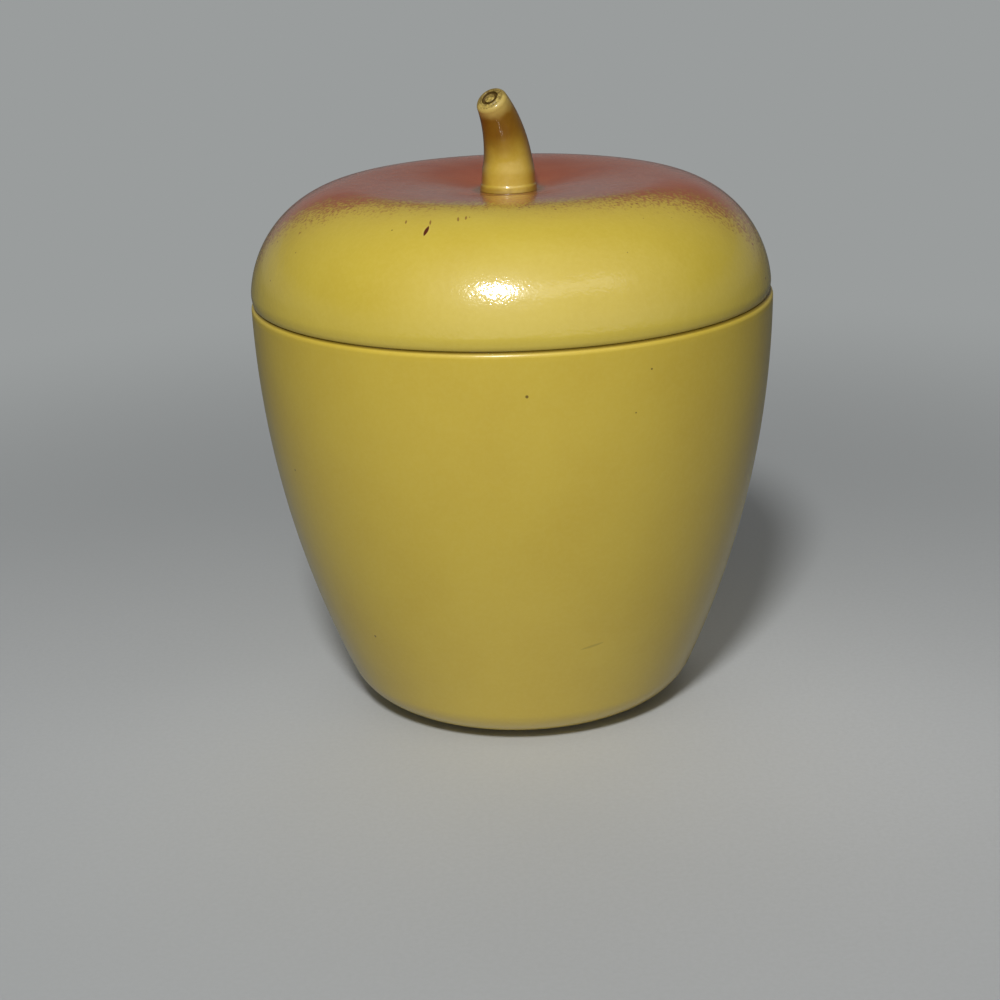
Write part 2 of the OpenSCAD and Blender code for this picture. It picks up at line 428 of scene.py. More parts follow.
# Glaze: roughness and gloss of the colour under the clear coat, and the coat's refraction
GLAZE_HAZE = 0.42
UNDER_GLAZE_SPECULAR = 0.2
GLAZE_IOR = 1.5


class Graph:
    """A short way to write nodes. An input is a number, a colour or another node's output."""

    NUMBER_RESULTS = ("LENGTH", "DOT_PRODUCT", "DISTANCE")

    def __init__(self, owner):
        self.owner = owner
        self.owner.use_nodes = True
        self.tree = owner.node_tree
        self.tree.nodes.clear()

    def node(self, kind, inputs=None, **settings):
        made = self.tree.nodes.new("ShaderNode" + kind)
        for key, value in settings.items():
            setattr(made, key, value)
        for key, value in (inputs or {}).items():
            socket = made.inputs[key]
            if isinstance(value, bpy.types.NodeSocket):
                self.tree.links.new(value, socket)
            else:
                socket.default_value = value
        return made

    def math(self, operation, a, b=0.0):
        return self.node("Math", {0: a, 1: b}, operation=operation).outputs[0]

    def vector(self, operation, a, b=None, scale=None):
        inputs = {0: a}
        if b is not None:
            inputs[1] = b
        if scale is not None:
            inputs["Scale"] = scale
        made = self.node("VectorMath", inputs, operation=operation)
        return made.outputs["Value" if operation in self.NUMBER_RESULTS else "Vector"]

    def mix(self, factor, a, b):
        made = self.node("Mix", {0: factor, 6: a, 7: b}, data_type="RGBA")
        return made.outputs[2]

    def blend(self, factor, a, b):
        """Between two numbers, where mix is between two colours."""
        return self.node("Mix", {0: factor, 2: a, 3: b}).outputs[0]

    def tint(self, colour, target, share, strength):
        """The colour moved towards target by share times strength."""
        return self.mix(self.math("MULTIPLY", share, strength), colour, target)

    def smooth(self, value, low, high, to_low=0.0, to_high=1.0):
        """A soft step of value, from to_low at low to to_high at high."""
        inputs = {"Value": value, "From Min": low, "From Max": high}
        inputs.update({"To Min": to_low, "To Max": to_high})
        return self.node("MapRange", inputs, interpolation_type="SMOOTHSTEP").outputs["Result"]

    def position_mm(self):
        place = self.node("TexCoord").outputs["Object"]
        return self.vector("SCALE", place, scale=1 / MM)

    def noise(self, place, size_mm, detail=2.0, roughness=0.5):
        inputs = {"Vector": place, "Scale": 1 / size_mm, "Detail": detail, "Roughness": roughness}
        return self.node("TexNoise", inputs).outputs["Fac"]

    def attribute(self, name):
        return self.node("Attribute", attribute_name=name).outputs["Fac"]

    def axis(self, place, name):
        return self.node("SeparateXYZ", {0: place}).outputs[name]

    def dots(self, place, cell_mm, radius_share, density):
        """Round dots, one at most in each cell. density is the share of cells that has one."""
        cells = self.node("TexVoronoi", {"Vector": place, "Scale": 1 / cell_mm, "Randomness": 1.0})
        pick = self.node("SeparateColor", {0: cells.outputs["Color"]})
        size = self.smooth(pick.outputs[1], 0.0, 1.0, radius_share / 2, radius_share)
        inside = self.math("SUBTRACT", size, cells.outputs["Distance"])
        shape = self.smooth(inside, 0.0, radius_share / 3)
        chosen = self.math("LESS_THAN", pick.outputs[0], density)
        return self.math("MULTIPLY", shape, chosen)

    def stroke(self, place, start, end, radius):
        """A dab between two points on the surface, thick in the middle, as a share from 0 to 1."""
        first, last = Vector(start), Vector(end)
        middle, reach = (first + last) / 2, (last - first) / 2
        across = self.vector("SUBTRACT", place, tuple(middle))
        dot = self.vector("DOT_PRODUCT", across, tuple(reach))
        along_it = self.math("DIVIDE", dot, reach.length_squared)
        held = self.math("MINIMUM", self.math("MAXIMUM", along_it, -1.0), 1.0)
        nearest = self.vector("SCALE", tuple(reach), scale=held)
        taper = self.math("MULTIPLY", self.math("MULTIPLY", held, held), radius * 0.7)
        distance = self.math("ADD", self.vector("DISTANCE", across, nearest), taper)
        return self.smooth(distance, radius, radius * 0.6)

    def bump(self, height, distance_mm, normal=None):
        inputs = {"Height": height, "Distance": distance_mm * MM, "Strength": 1.0}
        if normal is not None:
            inputs["Normal"] = normal
        return self.node("Bump", inputs).outputs["Normal"]

    def seen_ray(self):
        """One for what the camera sees, straight or in a reflection, and zero for other light."""
        rays = self.node("LightPath").outputs
        seen = self.math("MAXIMUM", rays["Is Camera Ray"], rays["Is Glossy Ray"])
        return self.math("MAXIMUM", seen, rays["Is Transmission Ray"])

    def finish(self, colour, relief, coat_roughness, coat=1.0, haze=GLAZE_HAZE):
        """Glazed clay: a clear glassy coat over a colour whose own sheen is broad and hazy."""
        under, top = relief
        shader = self.node(
            "BsdfPrincipled",
            {
                "Base Color": colour,
                "Roughness": haze,
                "IOR": GLAZE_IOR,
                "Specular IOR Level": UNDER_GLAZE_SPECULAR,
                "Normal": under,
                "Coat Weight": coat,
                "Coat Roughness": coat_roughness,
                "Coat IOR": GLAZE_IOR,
                "Coat Normal": top,
            },
        )
        self.node("OutputMaterial", {"Surface": shader.outputs[0]})
        return self.owner


# Colours as they look on screen
POT_YELLOW = srgb(214, 187, 69)
POT_DEEP = srgb(203, 172, 58)
LID_YELLOW = srgb(209, 185, 67)
LID_DEEP = srgb(198, 170, 55)
YELLOW_PALE = srgb(226, 206, 104)
OCHRE = srgb(190, 146, 66)
EDGE_BROWN = srgb(156, 94, 46)
DROPLET_BROWN = srgb(126, 66, 30)
BLUSH = srgb(176, 94, 62)
BLUSH_DEEP = srgb(164, 78, 48)
STALK_YELLOW = srgb(198, 170, 60)
STALK_OCHRE = srgb(192, 156, 50)
STALK_SIDE_BROWN_AND_SHADE = srgb(130, 90, 26)
STALK_BROWN = srgb(136, 98, 22)
STALK_BROWN_DEEP = srgb(112, 72, 14)
STALK_EDGE_PAINTED_SHADE = srgb(84, 58, 20)
SEAM_SHADE_BROWN = srgb(92, 70, 10)
IRON = srgb(92, 66, 22)
CHIP_BROWN = srgb(92, 36, 12)
CREAM = srgb(226, 216, 188)
CLAY = srgb(206, 182, 150)
CLAY_DARK = srgb(190, 162, 128)
TIP_PALE = srgb(204, 180, 98)
GROOVE_BROWN = srgb(88, 68, 28)
FOOT_BROWN = srgb(112, 78, 20)

# Single marks that the photograph shows: places in millimetres, and sizes of the round ones
POT_SPECKS = [
    ((1.9, -45.8, 67.5), 0.35),
    ((21.9, -40.3, 70.0), 0.22),
    ((19.3, -41.3, 63.1), 0.2),
    ((-25.4, -26.9, 20.1), 0.3),
    ((-37.9, -22.4, 49.3), 0.25),
]
LID_SPECKS = [
    ((15.5, -41.4, 83.0), 0.25),
    ((18.5, -36.3, 88.1), 0.2),
    ((26.4, -25.6, 91.5), 0.22),
    ((-18.9, -31.0, 91.8), 0.22),
]
SCRATCH = ((9.8, -35.7, 20.1), (13.9, -34.6, 21.0))
CHIP = ((-12.9, -32.4, 92.5), (-13.7, -34.4, 91.3))
DRIPS = [
    ((-12.6, -30.6, 93.1), (-12.7, -32.2, 92.6)),
    ((-8.2, -31.0, 93.5), (-8.2, -32.6, 93.1)),
    ((-6.9, -31.0, 93.6), (-7.0, -32.3, 93.3)),
    ((-16.6, -29.4, 93.0), (-16.7, -30.6, 92.6)),
]


# Relief of the glaze, in millimetres: sizes of slow pooling, orange peel and fine ripple
POOLING_SIZE = 9.0
POOLING_DEPTH = 0.06
PEEL_SIZE = 1.6
RIPPLE_SIZE = 0.42
# Depth of orange peel and ripple, and roughness of the clear coat, for each piece
POT_RELIEF = (0.02, 0.004)
LID_RELIEF = (0.05, 0.035)
STALK_RELIEF = (0.03, 0.01)
POT_COAT_ROUGHNESS = 0.22
LID_COAT_ROUGHNESS = 0.10
STALK_COAT_ROUGHNESS = 0.12

# Sizes of the mottling and of the grain in the yellow, and how strongly each shows
MOTTLE_SIZE = 14.0
MOTTLE = 0.35
GRAIN_SIZE = 0.8
GRAIN = 0.12
# Scattered iron specks: size of a cell, radius as a share of it, share of cells with one, strength
SPECK_CELL = 6.0
SPECK_RADIUS = 0.035
SPECK_DENSITY = 0.15
SPECK = 0.5
SINGLE_SPECK = 0.85


def glaze_relief(g, place, peel_mm, ripple_mm):
    """Surface normals under the glaze and on it: slow pooling, orange peel, and ripple on top."""
    slow = g.noise(place, POOLING_SIZE, 2.0)
    peel = g.noise(place, PEEL_SIZE, 2.0, 0.5)
    ripple = g.noise(place, RIPPLE_SIZE, 1.0)
    rolled = g.bump(slow, POOLING_DEPTH)
    under = g.bump(peel, peel_mm / 2, normal=rolled)
    peeled = g.bump(peel, peel_mm, normal=rolled)
    return under, g.bump(ripple, ripple_mm, normal=peeled)


def yellow_glaze(g, place, main, deep):
    """Yellow with slow mottling, fine grain and a few iron specks."""
    cloud = g.smooth(g.noise(place, MOTTLE_SIZE, 3.0, 0.55), 0.3, 0.75)
    grain = g.smooth(g.noise(place, GRAIN_SIZE, 3.0, 0.65), 0.35, 0.7)
    colour = g.tint(main, deep, cloud, MOTTLE)
    colour = g.tint(colour, YELLOW_PALE, grain, GRAIN)
    specks = g.dots(place, SPECK_CELL, SPECK_RADIUS, SPECK_DENSITY)
    return g.tint(colour, IRON, specks, SPECK)


def add_specks(g, place, colour, specks):
    """The single specks in a list of places and radii."""
    for spot, radius in specks:
        away = g.vector("DISTANCE", place, spot)
        colour = g.mix(g.smooth(away, radius, radius / 2, 0.0, SINGLE_SPECK), colour, IRON)
    return colour


# The cream lining's border: how far it wanders either way, and where it starts and is full
LINING_WANDER = 0.35
LINING_EDGE = (0.05, 0.45)


def lined_with_cream(g, place, colour):
    """Cream glaze inside the piece, from the border that the mesh carries."""
    wander = g.smooth(g.noise(place, 4.0, 2.0), 0.2, 0.8, -LINING_WANDER, LINING_WANDER)
    inside = g.smooth(g.math("ADD", g.attribute("inner_mm"), wander), *LINING_EDGE)
    return g.mix(inside, colour, CREAM)


SCRATCH_RADIUS = 0.3
SCRATCH_SHADE = 0.25
# Painted shade along the seam under the lid, on the outer edge of the rim: heights it comes in at,
# distances before the mouth, strength
SEAM_SHADE_HEIGHT = (RIM_H - 0.45, RIM_H - 0.1)
SEAM_SHADE_BEFORE_MOUTH = (-2.5, -3.2)
RIM_SEAM_SHADE = 0.85
# Bare clay under the foot ring: where the glaze was wiped off, how unevenly, and its roughness
BARE_HEIGHT = (0.32, 0.2)
WIPED_WANDER = 0.12
CLAY_ROUGHNESS = 0.8
# The clear coat is thinner over the rim: heights, and its weight there
THIN_COAT_HEIGHT = (RIM_H - 2.0, RIM_H - 1.0)
RIM_COAT = 0.4


def pot_material():
    """Satin yellow, with painted seam shade on the rim's edge, cream inside and bare clay under the
    foot.
    """
    g = Graph(bpy.data.materials.new("pot_glaze"))
    place = g.position_mm()
    colour = yellow_glaze(g, place, POT_YELLOW, POT_DEEP)
    colour = add_specks(g, place, colour, POT_SPECKS)
    colour = g.tint(colour, IRON, g.stroke(place, *SCRATCH, SCRATCH_RADIUS), SCRATCH_SHADE)
    # Painted shade in the seam under the lid, on the rim's outer edge.
    up_rim = g.smooth(g.axis(place, "Z"), *SEAM_SHADE_HEIGHT)
    seam_shade = g.math("MULTIPLY", up_rim, g.smooth(g.attribute("inner_mm"), *SEAM_SHADE_BEFORE_MOUTH))
    colour = g.tint(colour, SEAM_SHADE_BROWN, seam_shade, RIM_SEAM_SHADE)
    colour = lined_with_cream(g, place, colour)
    wiped = g.smooth(g.noise(place, 2.5, 3.0), 0.2, 0.8, -WIPED_WANDER, WIPED_WANDER)
    bare = g.smooth(g.math("ADD", g.axis(place, "Z"), wiped), *BARE_HEIGHT)
    colour = g.mix(bare, colour, g.mix(g.noise(place, 0.5, 4.0, 0.7), CLAY, CLAY_DARK))
    thin_at_rim = g.smooth(g.axis(place, "Z"), *THIN_COAT_HEIGHT, 1.0, RIM_COAT)
    coat = g.math("MINIMUM", thin_at_rim, g.smooth(bare, 1.0, 0.0))
    haze = g.smooth(bare, 0.0, 1.0, GLAZE_HAZE, CLAY_ROUGHNESS)
    relief = glaze_relief(g, place, *POT_RELIEF)
    return g.finish(colour, relief, POT_COAT_ROUGHNESS, coat, haze)


# The blush ends at the front in a curve that bows out, and at the sides and back at a height
BLUSH_FRONT_Y = -26.0
BLUSH_BOW = 0.0098
BLUSH_SIDE_Z = 85.2
BLUSH_BACK_DROP = 0.07
BLUSH_TURN = 0.03
BLUSH_BLEND = 3.0
# Its edge wanders slowly and breaks up in fine mist, by so many millimetres either way
BLUSH_DRIFT_SIZE = 9.0
BLUSH_DRIFT = 1.0
MIST_SIZE = 0.4
MIST = 4.0
# Depth in the blush at which each layer starts and is full, and its strength
BLUSH_HAZE_DEPTH = (-10.0, 3.0)
BLUSH_HAZE = 0.4
BLUSH_FRINGE_DEPTH = (-3.5, 2.5)
BLUSH_FRINGE = 0.7
BLUSH_FULL_DEPTH = (-0.5, 7.0)
BLUSH_CLOUD_SIZE = 5.0
BLUSH_CLOUD = 0.5
# Droplets past its edge: size of a cell, a droplet's radius, share of cells with one, and reach
DROPLETS = [(0.45, 0.15, 0.85, 5.5), (0.7, 0.2, 0.55, 7.5), (1.3, 0.2, 0.4, 13.0)]
DROPLET = 0.8
# Spray runs a little downhill: distance down the slope is scaled by SPRAY_SQUEEZE, and the turn
# round the lid is measured at SPRAY_RADIUS
SPRAY_RADIUS = 26.0
SPRAY_SQUEEZE = 0.6


def downhill_place(g, place):
    """Coordinates in which spots come out longer down the lid's slope than round it."""
    level = g.vector("NORMALIZE", g.vector("MULTIPLY", place, (1.0, 1.0, 0.0)))
    down = g.math("MULTIPLY", g.attribute("inner_mm"), SPRAY_SQUEEZE)
    downwards = g.node("CombineXYZ", {2: down}).outputs[0]
    return g.vector("ADD", g.vector("SCALE", level, scale=SPRAY_RADIUS), downwards)


def blush_depth(g, place):
    """How far a point lies inside the blush, in millimetres: below zero outside it."""
    x, y, z = (g.axis(place, name) for name in "XYZ")
    bow = g.math("MULTIPLY", g.math("MULTIPLY", x, x), BLUSH_BOW)
    turned = g.math("MULTIPLY", x, BLUSH_TURN)
    front_y = g.math("SUBTRACT", g.math("ADD", bow, BLUSH_FRONT_Y), turned)
    from_front = g.math("SUBTRACT", y, front_y)
    side_z = g.math("SUBTRACT", BLUSH_SIDE_Z, g.math("MULTIPLY", y, BLUSH_BACK_DROP))
    over_side = g.math("SUBTRACT", z, side_z)
    ends = {0: from_front, 1: over_side, 2: BLUSH_BLEND}
    return g.node("Math", ends, operation="SMOOTH_MIN").outputs[0]


def blush(g, place, colour):
    """Sprayed blush over the crown, with a soft brown edge that breaks up into droplets."""
    depth = blush_depth(g, place)
    slow = g.noise(place, BLUSH_DRIFT_SIZE, 3.0)
    level = g.math("ADD", depth, g.smooth(slow, 0.25, 0.75, -BLUSH_DRIFT, BLUSH_DRIFT))
    spray_place = downhill_place(g, place)
    mist = g.smooth(g.noise(spray_place, MIST_SIZE, 2.0, 0.6), 0.3, 0.7, -MIST, MIST)
    sprayed = g.math("ADD", level, mist)
    colour = g.mix(g.smooth(level, *BLUSH_HAZE_DEPTH, 0.0, BLUSH_HAZE), colour, OCHRE)
    colour = g.tint(colour, EDGE_BROWN, g.smooth(sprayed, *BLUSH_FRINGE_DEPTH), BLUSH_FRINGE)
    for cell, radius, share, reach in DROPLETS:
        dusting = g.smooth(level, -reach, 1.0, 0.0, share)
        droplets = g.dots(spray_place, cell, radius / cell, dusting)
        colour = g.tint(colour, DROPLET_BROWN, droplets, DROPLET)
    cloud = g.smooth(g.noise(place, BLUSH_CLOUD_SIZE, 3.0), 0.3, 0.7)
    red = g.tint(BLUSH, BLUSH_DEEP, cloud, BLUSH_CLOUD)
    return g.mix(g.smooth(sprayed, *BLUSH_FULL_DEPTH), colour, red)


# Brown round the stalk's foot: radii it comes in at, where the lid's inside starts, strength
FOOT_BROWN_RADIUS = (7.2, 5.4)
FOOT_BROWN_OUTSIDE = (-10.0, -9.0)
FOOT_BROWN_STRENGTH = 0.75
CHIP_RADIUS = 0.42
CHIP_RIM_RADIUS = 0.8
CHIP_RIM = 0.35
DRIP_RADIUS = 0.22
DRIP = 0.7
# The lid's yellow is paler towards its lower edge, a painted sheen, and its lower corner has
# painted shade along the seam
PALE_SHEEN_HEIGHT = (RIM_H + 8.5, RIM_H + 1.5)
PALE_SHEEN = 0.22
CORNER_SHADE_BEFORE_INSIDE = (-0.9, -0.1)
CORNER_SEAM_SHADE = 0.3


def lid_marks(g, place, colour):
    """Brown round the stalk's foot, the chip in its paler rim, drips and specks."""
    from_stalk = g.vector("LENGTH", g.vector("MULTIPLY", place, (1.0, 1.0, 0.0)))
    outside = g.smooth(g.attribute("inner_mm"), *FOOT_BROWN_OUTSIDE, 1.0, 0.0)
    round_foot = g.math("MULTIPLY", g.smooth(from_stalk, *FOOT_BROWN_RADIUS), outside)
    colour = g.tint(colour, FOOT_BROWN, round_foot, FOOT_BROWN_STRENGTH)
    colour = g.tint(colour, YELLOW_PALE, g.stroke(place, *CHIP, CHIP_RIM_RADIUS), CHIP_RIM)
    colour = g.mix(g.stroke(place, *CHIP, CHIP_RADIUS), colour, CHIP_BROWN)
    for drip in DRIPS:
        colour = g.tint(colour, DROPLET_BROWN, g.stroke(place, *drip, DRIP_RADIUS), DRIP)
    return add_specks(g, place, colour, LID_SPECKS)


def lid_material():
    """Glossy yellow under a red blush, paler towards its lower edge as a painted sheen, with
    painted seam shade at its lower corner and cream inside.
    """
    g = Graph(bpy.data.materials.new("lid_glaze"))
    place = g.position_mm()
    colour = yellow_glaze(g, place, LID_YELLOW, LID_DEEP)
    # Painted sheen: the yellow is paler towards the lid's lower edge.
    pale_sheen = g.smooth(g.axis(place, "Z"), *PALE_SHEEN_HEIGHT)
    colour = g.tint(colour, YELLOW_PALE, pale_sheen, PALE_SHEEN)
    colour = blush(g, place, colour)
    colour = lid_marks(g, place, colour)
    # Painted shade along the seam at the lid's lower corner.
    seam_shade = g.smooth(g.attribute("inner_mm"), *CORNER_SHADE_BEFORE_INSIDE)
    colour = g.tint(colour, SEAM_SHADE_BROWN, seam_shade, CORNER_SEAM_SHADE)
    colour = lined_with_cream(g, place, colour)
    return g.finish(colour, glaze_relief(g, place, *LID_RELIEF), LID_COAT_ROUGHNESS)


# The stalk's browns: distances along it where each starts and is full, and strengths
STALK_FOOT_BROWN_S = (1.0, 0.0)
STALK_FOOT_BROWN = 0.6
STALK_BROWN_S = (4.6, 12.0)
STALK_PATCHES = 0.4
TIP_PALE_S = (STALK_LEN - 3.0, STALK_LEN - 0.9)
TIP_PALENESS = 0.85
TIP_FACE_S = (STALK_LEN - 0.2, STALK_LEN - 0.05)
TIP_WEAR = 0.7
RING_SUNK = (0.0, 0.06)
# Turn away from the front, from 0 to 1, where its sides and back darken, and strengths: partly
# brown glaze, partly painted shade, and at the edges a painted reflection of the red dish
STALK_SIDE_TURN = (0.15, 0.8)
STALK_SIDE_SHADE = 0.8
STALK_EDGE_TURN = (0.7, 1.0)
STALK_EDGE_SHADE = 0.45
# The clear coat is thinner where the stalk is brown: shares of brown, and its weight there
THIN_COAT_BROWN = (0.1, 0.7)
STALK_BROWN_COAT = 0.3


def stalk_material():
    """Yellow that turns olive brown up the stalk and on its sides and back, where the brown is
    partly painted shade, with a paler tip.
    """
    g = Graph(bpy.data.materials.new("stalk_glaze"))
    place = g.position_mm()
    reach = g.attribute("along_mm")
    drift = g.smooth(g.noise(place, 3.0, 2.0), 0.25, 0.75, -0.4, 0.4)
    level = g.math("ADD", reach, drift)
    colour = yellow_glaze(g, place, STALK_YELLOW, STALK_OCHRE)
    # Sides and back: partly brown glaze, partly painted shade.
    side_brown_and_shade = g.smooth(g.attribute("flank"), *STALK_SIDE_TURN)
    colour = g.tint(colour, STALK_SIDE_BROWN_AND_SHADE, side_brown_and_shade, STALK_SIDE_SHADE)
    # Browner towards the stalk's foot, where it meets the lid.
    colour = g.tint(colour, STALK_BROWN, g.smooth(level, *STALK_FOOT_BROWN_S), STALK_FOOT_BROWN)
    brown = g.smooth(level, *STALK_BROWN_S)
    patch = g.smooth(g.noise(place, 2.5, 2.0), 0.35, 0.7)
    colour = g.mix(brown, colour, g.tint(STALK_BROWN, STALK_BROWN_DEEP, patch, STALK_PATCHES))
    colour = g.tint(colour, TIP_PALE, g.smooth(level, *TIP_PALE_S), TIP_PALENESS)
    # Painted shade and painted reflection of the red dish at the edges seen from the front, and on
    # the back.
    edge_painted_shade = g.smooth(g.attribute("flank"), *STALK_EDGE_TURN)
    colour = g.tint(colour, STALK_EDGE_PAINTED_SHADE, edge_painted_shade, STALK_EDGE_SHADE)
    worn = g.smooth(g.noise(place, 0.45, 3.0, 0.7), 0.42, 0.62, 0.0, TIP_WEAR)
    colour = g.tint(colour, GROOVE_BROWN, worn, g.smooth(reach, *TIP_FACE_S))
    colour = g.mix(g.smooth(g.attribute("sunk_mm"), *RING_SUNK), colour, GROOVE_BROWN)
    coat = g.smooth(brown, *THIN_COAT_BROWN, 1.0, STALK_BROWN_COAT)
    relief = glaze_relief(g, place, *STALK_RELIEF)
    return g.finish(colour, relief, STALK_COAT_ROUGHNESS, coat)


def dress(piece, material, body, node):
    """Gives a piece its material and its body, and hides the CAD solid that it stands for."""
    piece.data.materials.append(material)
    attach(piece, body)
    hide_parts(node)


dress(build_pot(), pot_material(), "pot", "pot")
dress(build_lid(), lid_material(), "lid", "lid")
dress(build_stalk(), stalk_material(), "lid", "stalk")


# Camera fitted to the photograph: distance, elevation, turn and roll round the pot's axis
CAMERA_DISTANCE = 0.36719
CAMERA_ELEVATION = math.radians(18.40)
CAMERA_TURN = math.radians(-0.51)
CAMERA_ROLL = math.radians(1.67)
CAMERA_AIM_Z = 0.03538
CAMERA_LENS = 72.0
CAMERA_SENSOR = 36.0
CAMERA_NEAR = 0.01
CAMERA_FAR = 20.0


def build_camera():
    data = bpy.data.cameras.new("camera")
    data.lens = CAMERA_LENS
    data.sensor_width = CAMERA_SENSOR
    data.clip_start = CAMERA_NEAR
    data.clip_end = CAMERA_FAR
    camera = bpy.data.objects.new("camera", data)
    bpy.context.scene.collection.objects.link(camera)
    level = Vector((0, math.cos(CAMERA_ELEVATION), -math.sin(CAMERA_ELEVATION)))
    up = Vector((0, math.sin(CAMERA_ELEVATION), math.cos(CAMERA_ELEVATION)))
    place = Vector((0, 0, CAMERA_AIM_Z)) - level * CAMERA_DISTANCE
    side = Vector((1, 0, 0))
    look = level * math.cos(CAMERA_TURN) + side * math.sin(CAMERA_TURN)
    right = side * math.cos(CAMERA_TURN) - level * math.sin(CAMERA_TURN)
    rolled_right = right * math.cos(CAMERA_ROLL) - up * math.sin(CAMERA_ROLL)
    rolled_up = right * math.sin(CAMERA_ROLL) + up * math.cos(CAMERA_ROLL)
    turn = Matrix((rolled_right, rolled_up, -look)).transposed()
    camera.matrix_world = Matrix.Translation(place) @ turn.to_4x4()
    bpy.context.scene.camera = camera


PAPER_NEAR = srgb(174, 176, 177)
PAPER_MIDDLE = srgb(195, 197, 198)
PAPER_GRAIN = srgb(150, 151, 147)
PAPER_ROUGHNESS = 0.9
FLOOR_HALF_SIZE = 6000.0
# Between these Y the paper goes from PAPER_NEAR to PAPER_MIDDLE, a painted shade that darkens it
# towards the front; it has fine grain and slow clouds
PAPER_NEAR_TO_MIDDLE = (-120.0, -10.0)
PAPER_GRAIN_SHARE = 0.12
PAPER_CLOUD_SHARE = 0.05
# Painted shade: the paper is dimmer away from a lit spot before the pot, and behind it
PAPER_SHADED = srgb(158, 162, 163)
LIT_SPOT = (30.0, -70.0, 0.0)
DIM_BESIDE_FROM = (20.0, 140.0)
DIM_BESIDE = 0.45
DIM_BEHIND_FROM = (20.0, 130.0)
DIM_BEHIND = 0.26
# Share of the paper's colour that rays other than the camera's find: before the pot and behind it,
# and added close to a spot at its foot
SHARE_Y = (-160.0, 60.0)
SHARE_FRONT = 0.76
SHARE_BEHIND = 0.62
FOOT_SPOT = (0.0, -45.0, 0.0)
FOOT_REACH = (5.0, 60.0)
SHARE_AT_FOOT = 0.5
# Far away the paper gives way to the backdrop's glow, of which the glaze mirrors a share
BACKDROP_GREY = srgb(154, 157, 157)
BACKDROP_DISTANCE = (90.0, 330.0)
SHARE_FAR_MIRRORED = 0.25
# The camera sees the paper's shadows lifted by this share of the backdrop's glow
SHADOW_LIFT = 0.03


def floor_material():
    """Pale paper round the object, with painted light and shade by place, which far away gives way
    to an even backdrop.
    """
    g = Graph(bpy.data.materials.new("floor_paper"))
    place = g.position_mm()
    grain = g.smooth(g.noise(place, 0.9, 3.0, 0.7), 0.3, 0.7)
    cloud = g.smooth(g.noise(place, 60.0, 2.0), 0.3, 0.7)
    y = g.axis(place, "Y")
    colour = g.mix(g.smooth(y, *PAPER_NEAR_TO_MIDDLE), PAPER_NEAR, PAPER_MIDDLE)
    colour = g.tint(colour, PAPER_GRAIN, grain, PAPER_GRAIN_SHARE)
    colour = g.tint(colour, PAPER_GRAIN, cloud, PAPER_CLOUD_SHARE)
    # Painted shade away from the lit spot and behind the pot.
    from_lit = g.vector("DISTANCE", place, LIT_SPOT)
    beside = g.smooth(from_lit, *DIM_BESIDE_FROM, 0.0, DIM_BESIDE)
    behind = g.smooth(y, *DIM_BEHIND_FROM, 0.0, DIM_BEHIND)
    colour = g.mix(g.math("ADD", beside, behind), colour, PAPER_SHADED)
    by_camera = g.node("LightPath").outputs["Is Camera Ray"]
    onto_pot = g.smooth(y, *SHARE_Y, SHARE_FRONT, SHARE_BEHIND)
    from_foot = g.vector("DISTANCE", place, FOOT_SPOT)
    at_foot = g.smooth(from_foot, *FOOT_REACH, SHARE_AT_FOOT, 0.0)
    strength = g.blend(by_camera, g.math("ADD", onto_pot, at_foot), 1.0)
    colour = g.vector("SCALE", colour, scale=strength)
    paper = g.node("BsdfPrincipled", {"Base Color": colour, "Roughness": PAPER_ROUGHNESS})
    glow_strength = g.blend(by_camera, SHARE_FAR_MIRRORED, 1.0)
    glow = g.node("Emission", {"Color": BACKDROP_GREY, "Strength": glow_strength})
    far = g.smooth(g.vector("LENGTH", place), *BACKDROP_DISTANCE, SHADOW_LIFT, 1.0)
    share = g.math("MULTIPLY", far, g.seen_ray())
    both = g.node("MixShader", {0: share, 1: paper.outputs[0], 2: glow.outputs[0]})
    g.node("OutputMaterial", {"Surface": both.outputs[0]})
    return g.owner


def build_floor():
    size = FLOOR_HALF_SIZE
    corners = [(-size, -size, 0), (size, -size, 0), (size, size, 0), (-size, size, 0)]
    floor = mesh_object("floor", corners, [(0, 1, 2, 3)], {})
    floor.data.materials.append(floor_material())


def area_light(name, place, aim, width, height, power):
    """A white elliptical lamp. Sizes are in metres and the power in watts."""
    data = bpy.data.lights.new(name, "AREA")
    data.shape = "ELLIPSE"
    data.size = width
    data.size_y = height
    data.energy = power
    lamp = bpy.data.objects.new(name, data)
    lamp.location = place
    lamp.rotation_mode = "QUATERNION"
    lamp.rotation_quaternion = (Vector(aim) - Vector(place)).to_track_quat("-Z", "Y")
    bpy.context.scene.collection.objects.link(lamp)


# What the camera sees over the horizon
SKY_SEEN = (0.33, 0.34, 0.34, 1.0)
# What the glaze mirrors: a low sky that gives way to a dark room, and a bright wall before the pot
SKY_MIRRORED = (0.19, 0.20, 0.20, 1.0)
ROOM_MIRRORED = (0.07, 0.07, 0.07, 1.0)
ROOM_HEIGHT = (0.17, 0.28)
WALL_MIRRORED = (1.2, 1.2, 1.2, 1.0)
WALL_FROM = (0.20, -0.85, 0.49)
WALL_SPREAD = (0.2, 1.0)
# A long bright panel to the right of the key light, mirrored only
PANEL_MIRRORED = (2.6, 2.6, 2.6, 1.0)
PANEL_AZIMUTH = math.radians(31)
PANEL_ELEVATION = math.radians(42)
PANEL_HALF_WIDTH = 0.44
PANEL_HALF_HEIGHT = 0.12
PANEL_INNER_WIDTH = 0.6
PANEL_INNER_HEIGHT = 0.7
TABLE_EDGE = (0.0, 0.1)
# What lights matt surfaces: soft light from above and a broad light behind the pot
NO_LIGHT = (0.0, 0.0, 0.0, 1.0)
CEILING_LIGHT = (0.06, 0.06, 0.06, 1.0)
CEILING_HEIGHT = (0.2, 0.9)
BACK_LIGHT = (1.1, 1.1, 1.1, 1.0)
BACK_FROM = (0.0, 0.96, 0.28)
BACK_SPREAD = (0.6, 1.0)


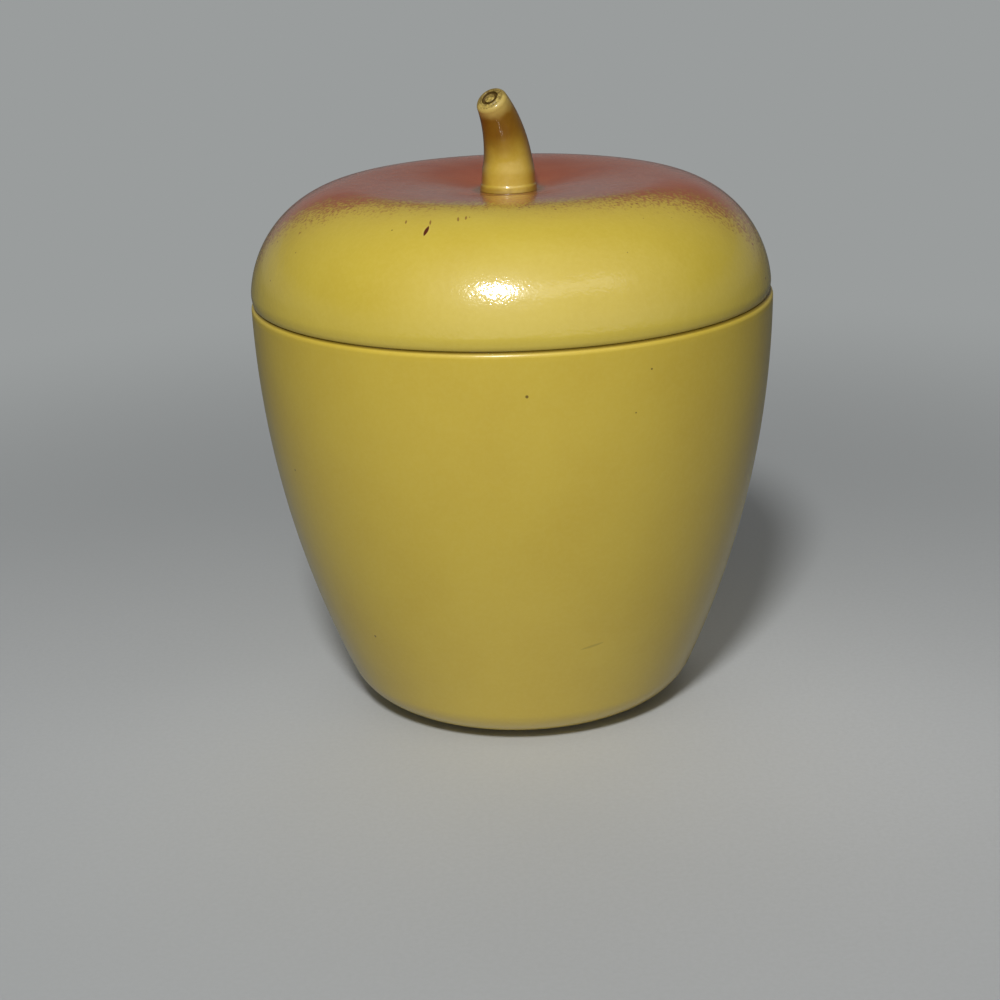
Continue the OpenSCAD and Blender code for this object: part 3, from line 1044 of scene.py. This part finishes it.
def panel_share(g, direction):
    """One inside the mirrored panel and zero round it, with soft edges."""
    azimuth, elevation = PANEL_AZIMUTH, PANEL_ELEVATION
    across = (math.cos(azimuth), math.sin(azimuth), 0.0)
    back = (-math.sin(azimuth) * math.sin(elevation), math.cos(azimuth) * math.sin(elevation))
    sideways = g.math("ABSOLUTE", g.vector("DOT_PRODUCT", direction, across))
    up = (*back, math.cos(elevation))
    upwards = g.math("ABSOLUTE", g.vector("DOT_PRODUCT", direction, up))
    in_width = g.smooth(sideways, PANEL_HALF_WIDTH, PANEL_HALF_WIDTH * PANEL_INNER_WIDTH)
    in_height = g.smooth(upwards, PANEL_HALF_HEIGHT, PANEL_HALF_HEIGHT * PANEL_INNER_HEIGHT)
    over_table = g.smooth(g.axis(direction, "Z"), *TABLE_EDGE)
    return g.math("MULTIPLY", g.math("MULTIPLY", in_width, in_height), over_table)


def build_world():
    world = bpy.data.worlds.new("studio")
    g = Graph(world)
    direction = g.node("TexCoord").outputs["Generated"]
    height = g.axis(direction, "Z")
    mirrored = g.mix(g.smooth(height, *ROOM_HEIGHT), SKY_MIRRORED, ROOM_MIRRORED)
    to_wall = g.vector("DOT_PRODUCT", direction, WALL_FROM)
    mirrored = g.mix(g.smooth(to_wall, *WALL_SPREAD), mirrored, WALL_MIRRORED)
    mirrored = g.mix(panel_share(g, direction), mirrored, PANEL_MIRRORED)
    light = g.mix(g.smooth(height, *CEILING_HEIGHT), NO_LIGHT, CEILING_LIGHT)
    to_back = g.vector("DOT_PRODUCT", direction, BACK_FROM)
    light = g.mix(g.smooth(to_back, *BACK_SPREAD), light, BACK_LIGHT)
    rays = g.node("LightPath").outputs
    colour = g.mix(rays["Is Glossy Ray"], light, mirrored)
    colour = g.mix(rays["Is Camera Ray"], colour, SKY_SEEN)
    back = g.node("Background", {"Color": colour, "Strength": 1.0})
    g.node("OutputWorld", {"Surface": back.outputs[0]})
    bpy.context.scene.world = world


# The key light stands over the camera's left shoulder and aims at the lid's shoulder
KEY_FROM = (-0.002, -0.04, 0.09)
KEY_DISTANCE = 0.62
KEY_AZIMUTH = math.radians(-7)
KEY_ELEVATION = math.radians(43)
# Width, height and power of its bright core, and of the soft halo just behind it
KEY_CORE = (0.09, 0.10, 3.35)
KEY_HALO = (0.27, 0.2, 0.35)
KEY_HALO_BEHIND = 0.01


def build_lights():
    flat, rise = math.cos(KEY_ELEVATION), math.sin(KEY_ELEVATION)
    way = Vector((math.sin(KEY_AZIMUTH) * flat, -math.cos(KEY_AZIMUTH) * flat, rise))
    place = Vector(KEY_FROM) + way * KEY_DISTANCE
    area_light("key_core", place, KEY_FROM, *KEY_CORE)
    area_light("key_halo", place + way * KEY_HALO_BEHIND, KEY_FROM, *KEY_HALO)


build_camera()
build_floor()
build_world()
build_lights()
bpy.context.scene.view_settings.view_transform = "Standard"
